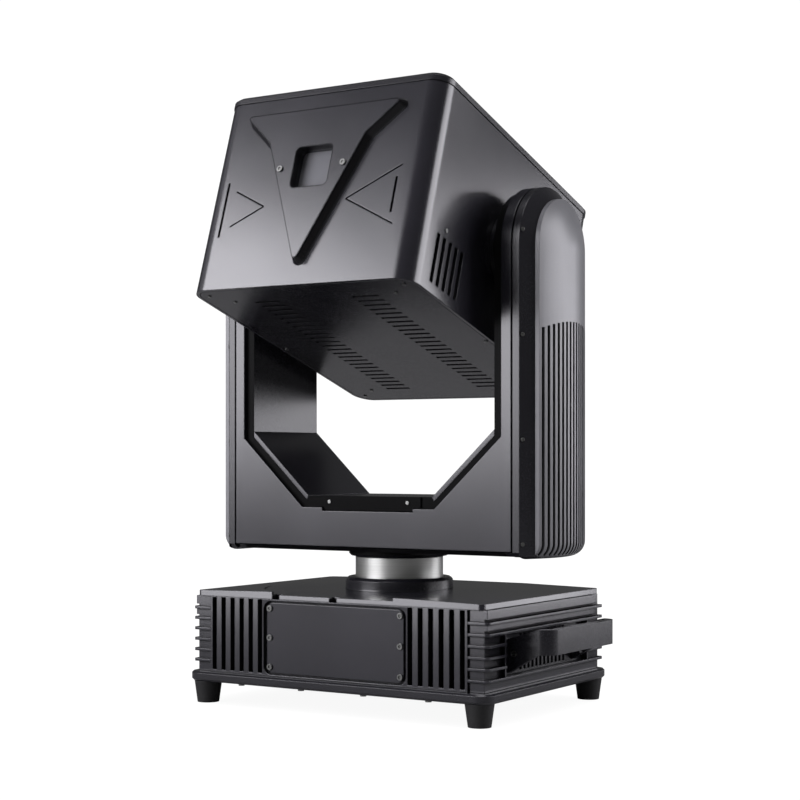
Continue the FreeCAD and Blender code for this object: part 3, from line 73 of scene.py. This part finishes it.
class Shader(Maker):  # one material
    def __init__(self, name):
        self.material = bpy.data.materials.new(name)
        self.material.use_nodes = True
        super().__init__(self.material.node_tree)
        self.place = self.node("ShaderNodeTexCoord", out="Object")

    def noise(self, scale, detail=2.0, stretch=(1, 1, 1)):
        along = self.node("ShaderNodeMapping", None, {"Vector": self.place, "Scale": stretch})
        return self.node("ShaderNodeTexNoise", None, {"Vector": along, "Scale": scale, "Detail": detail})

    def axis(self, name):
        return self.node("ShaderNodeSeparateXYZ", None, {0: self.place}, out=name)

    def mix(self, share, first, second):
        return self.node("ShaderNodeMix", {"data_type": "RGBA"}, {0: share, 6: first, 7: second}, out=2)

    def vector(self, operation, first, second=(0.0, 0.0, 0.0), out=0):
        return self.node("ShaderNodeVectorMath", {"operation": operation}, {0: first, 1: second}, out=out)

    def softNormal(self, radius):  # normal of edges rounded to the radius
        return self.node("ShaderNodeBevel", {"samples": 4}, {"Radius": radius})

    def leanOf(self, soft):  # how far a rounded normal leans from the true one
        true = self.node("ShaderNodeNewGeometry", out="Normal")
        return 1 - self.vector("DOT_PRODUCT", soft, true, out="Value")

    def hollow(self, reach, low, high, alone=True):  # 0 in the open, 1 deep in a narrow recess
        light = self.node("ShaderNodeAmbientOcclusion", {"samples": 8, "only_local": alone},
                          {"Distance": reach}, out="AO")
        return 1 - light.within(low, high)

    def bump(self, height, strength, distance, normal=None):
        inputs = {"Height": height, "Strength": strength, "Distance": distance}
        if normal is not None:
            inputs["Normal"] = normal
        return self.node("ShaderNodeBump", None, inputs)

    def finish(self, inputs, dark=None):  # dark is the share of painted shade, a matt black, over the surface
        surface = self.node("ShaderNodeBsdfPrincipled", None, inputs)
        if dark is not None:
            # painted shade: a matt black diffuse mixed in where dark is high
            black = self.node("ShaderNodeBsdfDiffuse", None, {"Color": rgb(recess["tone"])})
            surface = self.node("ShaderNodeMixShader", None, {0: dark, 1: surface, 2: black})
        self.node("ShaderNodeOutputMaterial", None, {"Surface": surface}, out=None)
        return self.material


def rgb(level, tint=(1.0, 1.0, 1.0)):
    return (level * tint[0], level * tint[1], level * tint[2], 1.0)


def tones(level, shares, tint):
    return [rgb(level * share, tint) for share in shares]


middle = 0.5  # mean of a noise
paints = {  # edge is the radius of rounded edges in metres, shade adds painted shade on the spacer and on the fork's front edge
    "anthracitePaint": {"level": 0.013, "tint": (0.95, 0.92, 1.2), "rough": 0.22, "grain": 0.03, "specular": 0.62,
                        "edge": 0.0014, "wear": 0.08, "shade": False},
    "blackPaint": {"level": 0.009, "tint": (0.95, 0.92, 1.2), "rough": 0.26, "grain": 0.05, "specular": 0.5,
                   "edge": 0.0006, "wear": 0.25, "shade": True},
    "greyPaint": {"level": 0.12, "tint": (0.98, 0.98, 1.035), "rough": 0.36, "grain": 0.04, "specular": 0.5,
                  "edge": 0.0006, "wear": 0.12, "shade": False},
    "motorPaint": {"level": 0.02, "tint": (1.0, 1.0, 1.0), "rough": 0.5, "grain": 0.1, "specular": 0.4,
                   "edge": 0.0004, "wear": 0.2, "shade": False},
}
coat = {  # shared by the paints: noises are (scale, detail), bands are (low, high)
    "cloud": (9.0, 3.0), "cloudBand": (0.3, 0.7), "cloudTones": (0.88, 1.12), "cloudRough": 0.06,
    "grain": (1500.0, 1.0), "grainRough": 0.08, "depth": 0.0004,
    "speckBand": (0.55, 0.8), "speckShare": 0.25, "speckTone": 1.8,
    "scuff": (60.0, 4.0), "scuffBand": (0.35, 0.65), "wornBand": (0.02, 0.25), "wornTone": 2.5, "wornLift": 0.02,
}
lip = {"low": 0.1230, "high": 0.1315, "fade": 0.0005, "lean": 0.13}  # heights of the top cover's lip
wall = {"low": 0.020, "high": 0.120, "inner": 0.0970, "lean": 0.075}  # heights of the base's walls
recess = {  # painted shade in hollows, each hollow is (reach, low, high); tone is the painted shade's matt black
    "seam": (0.0016, 0.5, 0.85), "groove": (0.008, 0.45, 0.75), "cell": (0.016, 0.45, 0.85),
    "cellShare": 0.8, "share": 0.9, "tone": 0.006,
}
plateLine = {  # distances from the origin along the normal of the head's front, for the painted shade line round the V plate's edge
    "normal": (0.0, -0.9516, 0.3074), "low": 0.3500, "high": 0.3515, "reach": 0.0026, "leanBand": (0.001, 0.01),
}
spacer = {"top": 0.3440, "fade": 0.0008, "share": 0.55}  # along the same normal; painted shade on the spacer's black side wall
fork = {  # front edge of the yoke's opening, where painted shade falls: heights, and distances to each side of the middle
    "low": 0.170, "middle": 0.300, "high": 0.620, "inner": 0.150, "outer": 0.176,
    "frontBand": (0.5, 0.8), "share": 0.97,
}


def tippedUp(shader, normal):  # leans the normal upward on the top cover's lip and, less, on the base's walls
    height, across = shader.axis("Z"), abs(shader.axis("X"))
    aboveWall = height.within(lip["low"] - lip["fade"], lip["low"])
    onLip = aboveWall * (1 - height.within(lip["high"], lip["high"] + lip["fade"]))
    onWall = height.within(wall["low"], wall["high"]) * (1 - aboveWall) * (across > wall["inner"])
    upward = shader.node("ShaderNodeCombineXYZ", None, {"Z": onLip * lip["lean"] + onWall * wall["lean"]})
    return shader.vector("NORMALIZE", shader.vector("ADD", normal, upward))


def paintedRecessShade(shader, deepShade):  # painted shade, a matt black, in seams, grooves, cells between fins and round the V plate
    proud = shader.vector("DOT_PRODUCT", shader.place, plateLine["normal"], out="Value")
    plateShadeLine = shader.leanOf(shader.softNormal(plateLine["reach"])).within(*plateLine["leanBand"])
    plateShadeLine = plateShadeLine * proud.within(plateLine["low"], plateLine["high"])
    # painted shade where occlusion finds seams, grooves and the cells between fins
    dark = shader.hollow(*recess["seam"], alone=False).most(shader.hollow(*recess["groove"])).most(plateShadeLine)
    dark = dark.most(shader.hollow(*recess["cell"]) * recess["cellShare"]) * recess["share"]
    if not deepShade:
        return dark
    # painted shade on the V plate's black spacer wall
    dark = dark.most(proud.within(spacer["top"] - spacer["fade"], spacer["top"]) * spacer["share"])
    height, across = shader.axis("Z"), abs(shader.axis("X"))
    ownNormal = shader.node("ShaderNodeTexCoord", out="Normal")
    frontward = shader.node("ShaderNodeSeparateXYZ", None, {0: ownNormal}, out="Y") * -1
    leg = (across > fork["inner"]) * (height < fork["high"])
    opening = (across < fork["outer"]) * (height > fork["low"]) * leg.most(height < fork["middle"])
    return dark.most(opening * frontward.within(*fork["frontBand"]) * fork["share"])  # painted shade on the front edge of the opening


def paint(name):  # fine powder coat: cloudy tone, sandy grain, lighter worn edges
    look = paints[name]
    level, tint = look["level"], look["tint"]
    shader = Shader(name)
    cloud = shader.noise(*coat["cloud"])
    grain = shader.noise(*coat["grain"])
    soft = shader.softNormal(look["edge"])
    scuff = shader.noise(*coat["scuff"]).within(*coat["scuffBand"])
    worn = shader.leanOf(soft).within(*coat["wornBand"]) * look["wear"] * scuff
    speck = grain.within(*coat["speckBand"]) * coat["speckShare"]
    tone = shader.mix(cloud.within(*coat["cloudBand"]), *tones(level, coat["cloudTones"], tint))
    tone = shader.mix(speck, tone, rgb(level * coat["speckTone"], tint))
    tone = shader.mix(worn, tone, rgb(level * coat["wornTone"] + coat["wornLift"], tint))
    rough = look["rough"] + (cloud - middle) * coat["cloudRough"] + (grain - middle) * coat["grainRough"]
    normal = shader.bump(grain, look["grain"], coat["depth"], tippedUp(shader, soft))
    return shader.finish({"Base Color": tone, "Roughness": rough, "Normal": normal,
                          "Specular IOR Level": look["specular"]}, paintedRecessShade(shader, look["shade"]))


metals = {  # scale and stretch shape the tool marks
    "turnedSilver": {"level": 0.47, "rough": 0.34, "stretch": (2, 2, 1500), "scale": 1.0, "bump": 0.03},
    "machinedMetal": {"level": 0.42, "rough": 0.36, "stretch": (1, 40, 40), "scale": 14.0, "bump": 0.06},
    "screwSteel": {"level": 0.18, "rough": 0.28, "stretch": (1, 1, 1), "scale": 900.0, "bump": 0.1},
}
tooling = {  # shared by the metals
    "tint": (1.0, 1.012, 0.965), "edge": 0.0004, "depth": 0.0003, "socket": (0.0025, 0.45, 0.85), "socketShadeTone": 0.01,
    "markDetail": 3.0, "markBand": (0.3, 0.7), "markTones": (0.82, 1.08), "markRough": 0.14,
    "stain": (25.0, 3.0), "stainBand": (0.5, 0.8), "stainShare": 0.3, "stainTone": 0.7,
    "dullBand": (0.5, 0.9), "dullRough": 0.08,
}


def metal(name):  # bare metal with tool marks drawn out along one direction
    look = metals[name]
    level, tint = look["level"], tooling["tint"]
    shader = Shader(name)
    marks = shader.noise(look["scale"], tooling["markDetail"], look["stretch"])
    stain = shader.noise(*tooling["stain"])
    stained = stain.within(*tooling["stainBand"]) * tooling["stainShare"]
    dull = stain.within(*tooling["dullBand"]) * tooling["dullRough"]
    tone = shader.mix(marks.within(*tooling["markBand"]), *tones(level, tooling["markTones"], tint))
    tone = shader.mix(stained, tone, rgb(level * tooling["stainTone"], tint))
    # painted shade in screw sockets and other small hollows
    tone = shader.mix(shader.hollow(*tooling["socket"]), tone, rgb(tooling["socketShadeTone"]))
    rough = look["rough"] + (marks - middle) * tooling["markRough"] + dull
    normal = shader.bump(marks, look["bump"], tooling["depth"], shader.softNormal(tooling["edge"]))
    return shader.finish({"Base Color": tone, "Metallic": 1.0, "Roughness": rough, "Normal": normal})


plastics = {
    "footRubber": {"level": 0.006, "rough": 0.72, "grain": 0.3, "scale": 700.0},
    "blackPlastic": {"level": 0.014, "rough": 0.48, "grain": 0.2, "scale": 1100.0},
    "beltRubber": {"level": 0.015, "rough": 0.8, "grain": 0.35, "scale": 500.0},
}
mould = {  # shared by the plastics and rubbers
    "edge": 0.0008, "depth": 0.0005, "grainDetail": 2.0, "grainRough": 0.15, "specular": 0.35,
    "dust": (30.0, 4.0), "dustBand": (0.45, 0.75), "dustShare": 0.5, "dustTone": 2.2, "dustTint": (1.0, 0.99, 0.97),
}


def plastic(name):  # moulded piece: fine spark-eroded grain and a little dust
    look = plastics[name]
    level = look["level"]
    shader = Shader(name)
    grain = shader.noise(look["scale"], mould["grainDetail"])
    dust = shader.noise(*mould["dust"]).within(*mould["dustBand"]) * mould["dustShare"]
    tone = shader.mix(dust, rgb(level), rgb(level * mould["dustTone"], mould["dustTint"]))
    rough = look["rough"] + (grain - middle) * mould["grainRough"]
    normal = shader.bump(grain, look["grain"], mould["depth"], shader.softNormal(mould["edge"]))
    return shader.finish({"Base Color": tone, "Roughness": rough, "Normal": normal,
                          "Specular IOR Level": mould["specular"]})


glassLook = {
    "tone": (0.150, 0.150, 0.158, 1.0), "film": (0.135, 0.137, 0.148, 1.0), "filmNoise": (14.0, 2.0),
    "rough": 0.10, "alpha": 0.97, "index": 1.5, "dust": (220.0, 5.0),
    "dullBand": (0.55, 0.8), "dullRough": 0.05, "speckBand": (0.6, 0.85), "speckAlpha": 0.1,
}


def coatedGlass():  # window with a faint cool coating and a little dust
    shader = Shader("coatedGlass")
    dust = shader.noise(*glassLook["dust"])
    film = shader.noise(*glassLook["filmNoise"])
    tone = shader.mix(film, glassLook["tone"], glassLook["film"])
    rough = glassLook["rough"] + dust.within(*glassLook["dullBand"]) * glassLook["dullRough"]
    alpha = glassLook["alpha"] + dust.within(*glassLook["speckBand"]) * glassLook["speckAlpha"]
    return shader.finish({"Base Color": tone, "Roughness": rough, "Alpha": alpha, "IOR": glassLook["index"]})


displayLook = {
    "tone": (0.006, 0.008, 0.012, 1.0), "glow": (0.02, 0.06, 0.12, 1.0), "rows": 900.0, "rowShare": 0.4,
    "rough": 0.06, "index": 1.5, "smear": (40.0, 4.0, (1, 1, 3)), "smearBand": (0.5, 0.8), "smearRough": 0.15,
}


def displayGlass():  # dark display under a polished window
    shader = Shader("displayGlass")
    smear = shader.noise(*displayLook["smear"]).within(*displayLook["smearBand"])
    rows = shader.node("ShaderNodeTexWave", {"bands_direction": "Z"},
                       {"Vector": shader.place, "Scale": displayLook["rows"]})
    tone = shader.mix(rows * displayLook["rowShare"], displayLook["tone"], displayLook["glow"])
    rough = displayLook["rough"] + smear * displayLook["smearRough"]
    return shader.finish({"Base Color": tone, "Roughness": rough, "IOR": displayLook["index"]})


boardLook = {
    "lacquer": (0.010, 0.075, 0.035, 1.0), "track": (0.02, 0.12, 0.06, 1.0), "turn": (math.pi / 2, 0, 0),
    "offset": 0.5, "pitch": 120.0, "gap": 0.06, "relief": 0.2, "depth": 0.0003,
    "rough": 0.35, "grain": 200.0, "grainRough": 0.1,
}


def circuitBoard():  # green lacquer over a lattice of tracks
    shader = Shader("circuitBoard")
    upright = shader.node("ShaderNodeMapping", None, {"Vector": shader.place, "Rotation": boardLook["turn"]})
    cells = shader.node("ShaderNodeTexBrick", {"offset": boardLook["offset"]},
                        {"Vector": upright, "Scale": boardLook["pitch"], "Mortar Size": boardLook["gap"]}, out="Fac")
    tone = shader.mix(cells, boardLook["lacquer"], boardLook["track"])
    rough = boardLook["rough"] + shader.noise(boardLook["grain"]) * boardLook["grainRough"]
    normal = shader.bump(cells, boardLook["relief"], boardLook["depth"])
    return shader.finish({"Base Color": tone, "Roughness": rough, "Normal": normal})


mirrorLook = {
    "tone": 0.88, "rough": 0.02, "haze": (300.0, 3.0), "hazeTone": 0.95, "hazeTint": (1, 1, 1.03), "hazeRough": 0.03,
}


def scanMirror():  # front-silvered glass
    shader = Shader("scanMirror")
    level = mirrorLook["tone"]
    haze = shader.noise(*mirrorLook["haze"])
    tone = shader.mix(haze, rgb(level), rgb(level * mirrorLook["hazeTone"], mirrorLook["hazeTint"]))
    rough = mirrorLook["rough"] + haze * mirrorLook["hazeRough"]
    return shader.finish({"Base Color": tone, "Metallic": 1.0, "Roughness": rough})


slotMaterials = {
    "dark_paint": paint("anthracitePaint"), "black_paint": paint("blackPaint"), "grey_paint": paint("greyPaint"),
    "motor_metal": paint("motorPaint"), "silver": metal("turnedSilver"), "bare_metal": metal("machinedMetal"),
    "screw_steel": metal("screwSteel"), "foot_rubber": plastic("footRubber"), "belt_rubber": plastic("beltRubber"),
    "black_plastic": plastic("blackPlastic"), "clear_glass": coatedGlass(), "display_glass": displayGlass(),
    "board": circuitBoard(), "scan_mirror": scanMirror(),
}
print("materials made:", len(slotMaterials))


shading = {"angle": 32.0, "weld": 1e-6}


def smoothGroup():  # joins the loose triangles and shades smooth where faces meet at less than the angle
    group = bpy.data.node_groups.new("smoothCurves", "GeometryNodeTree")
    group.interface.new_socket("Geometry", in_out="INPUT", socket_type="NodeSocketGeometry")
    group.interface.new_socket("Geometry", in_out="OUTPUT", socket_type="NodeSocketGeometry")
    make = Maker(group).node
    loose = make("NodeGroupInput")
    joined = make("GeometryNodeMergeByDistance", None, {0: loose, "Distance": shading["weld"]})
    bend = make("GeometryNodeInputMeshEdgeAngle", out="Unsigned Angle")
    gentle = make("FunctionNodeCompare", {"operation": "LESS_THAN"}, {0: bend, 1: math.radians(shading["angle"])})
    smooth = make("GeometryNodeSetShadeSmooth", {"domain": "FACE"}, {0: joined})
    creased = make("GeometryNodeSetShadeSmooth", {"domain": "EDGE"}, {0: smooth, "Shade Smooth": gentle})
    make("NodeGroupOutput", None, {0: creased}, out=None)
    return group


smoothCurves = smoothGroup()
slotOf = {part["node"]: part["material_slot"] for part in frame["record"]["subparts"]}
for name, piece in nodes.items():
    piece.data.materials.clear()
    piece.data.materials.append(slotMaterials[slotOf[name]])
    piece.modifiers.new("smooth", "NODES").node_group = smoothCurves
print("nodes dressed")


studio = {  # az and el are in degrees, far and size in metres, glow is brightness
    "floorTone": 0.34, "floorGlow": 1.08, "contactShadowTone": 0.92, "contactReach": 0.10,
    "floorHalf": 9.0, "floorDrop": 0.0002, "mottle": (1.5, 2.0), "mottleTone": 1.04,
    "front": {"az": -34.0, "el": 24.0, "far": 3.0, "size": (2.0, 1.28), "glow": 10.5},
    "low": {"az": -35.0, "el": 5.0, "far": 3.0, "size": (2.0, 0.74), "glow": 7.2},
    "left": {"az": -70.0, "el": 18.0, "far": 3.0, "size": (1.6, 1.9), "glow": 0.5},
    "right": {"az": 115.0, "el": 15.0, "far": 1.8, "size": (1.15, 1.0), "glow": 6.8},
    "rear": {"az": 144.0, "el": 3.0, "far": 2.4, "size": (0.95, 0.80), "glow": 4.6},
    "top": {"az": 20.0, "el": 78.0, "far": 2.4, "size": (1.8, 1.6), "glow": 3.5},
    "aim": (0.0, 0.0, 0.38), "tint": (0.985, 0.972, 1.03), "sky": 0.13, "backdrop": 1.3,
}


def softbox(name):  # rectangular light on a sphere round the aim; az 0 is the front, 90 the right
    look = studio[name]
    az, el = math.radians(look["az"]), math.radians(look["el"])
    away = Vector((math.sin(az) * math.cos(el), -math.cos(az) * math.cos(el), math.sin(el)))
    data = bpy.data.lights.new(name + "Box", "AREA")
    data.shape = "RECTANGLE"
    data.color = studio["tint"]
    data.size, data.size_y = look["size"]
    data.energy = look["glow"] * math.pi * look["size"][0] * look["size"][1]
    lamp = bpy.data.objects.new(name + "Box", data)
    lamp.location = Vector(studio["aim"]) + away * look["far"]
    lamp.rotation_euler = away.to_track_quat("Z", "Y").to_euler()
    lamp.visible_camera = False
    bpy.context.scene.collection.objects.link(lamp)


def paleFloor():  # flat square grid, a hair below the feet, that the camera sees as evenly lit apart from a painted contact shadow
    side = np.linspace(-studio["floorHalf"], studio["floorHalf"], 3)
    x, y = np.meshgrid(side, side, indexing="ij")
    points = np.stack([x, y, np.full_like(x, -studio["floorDrop"])], -1).reshape(-1, 3)
    corner = (np.arange(2)[:, None] * 3 + np.arange(2)).ravel()
    faces = corner[:, None] + np.array([0, 3, 4, 1])
    mesh = bpy.data.meshes.new("paleFloor")
    mesh.from_pydata(points.tolist(), [], faces.tolist())
    floor = bpy.data.objects.new("paleFloor", mesh)
    bpy.context.scene.collection.objects.link(floor)
    shader = Shader("paleSweep")
    mottle = shader.noise(*studio["mottle"])
    # painted shadow: the floor's glow drops where the object hides it from the room
    shadowFree = shader.node("ShaderNodeAmbientOcclusion", {"samples": 16}, {"Distance": studio["contactReach"]}, out="AO")
    glow = shader.mix(shadowFree, rgb(studio["contactShadowTone"]), rgb(studio["floorGlow"]))
    tone = shader.mix(mottle, rgb(studio["floorTone"]), rgb(studio["floorTone"] * studio["mottleTone"]))
    seen = shader.node("ShaderNodeEmission", None, {"Color": glow})
    dim = shader.node("ShaderNodeBsdfDiffuse", None, {"Color": tone})
    camera = shader.node("ShaderNodeLightPath", out="Is Camera Ray")
    whole = shader.node("ShaderNodeMixShader", None, {0: camera, 1: dim, 2: seen})
    shader.node("ShaderNodeOutputMaterial", None, {"Surface": whole}, out=None)
    mesh.materials.append(shader.material)


def whiteRoom():  # backdrop seen by the camera, and the even light of the room
    world = bpy.data.worlds.new("whiteRoom")
    world.use_nodes = True
    make = Maker(world.node_tree).node
    camera = make("ShaderNodeLightPath", out="Is Camera Ray")
    strength = make("ShaderNodeMix", None, {0: camera, 2: studio["sky"], 3: studio["backdrop"]})
    light = make("ShaderNodeBackground", None, {"Strength": strength})
    make("ShaderNodeOutputWorld", None, {"Surface": light}, out=None)
    bpy.context.scene.world = world


for name in ("front", "low", "left", "right", "rear", "top"):
    softbox(name)
paleFloor()
whiteRoom()

viewpoint = {"place": (1.0851, -1.7078, 0.2826), "turn": 32.41, "lens": 78.08, "sensor": 36.0, "shift": 0.0717}
lens = bpy.data.cameras.new("photoView")
lens.lens = viewpoint["lens"]
lens.sensor_width = viewpoint["sensor"]
lens.shift_y = viewpoint["shift"]
photoView = bpy.data.objects.new("photoView", lens)
photoView.location = viewpoint["place"]
photoView.rotation_euler = (math.pi / 2, 0, math.radians(viewpoint["turn"]))
bpy.context.scene.collection.objects.link(photoView)
bpy.context.scene.camera = photoView
bpy.context.scene.view_settings.view_transform = "Standard"
print("studio and camera set")
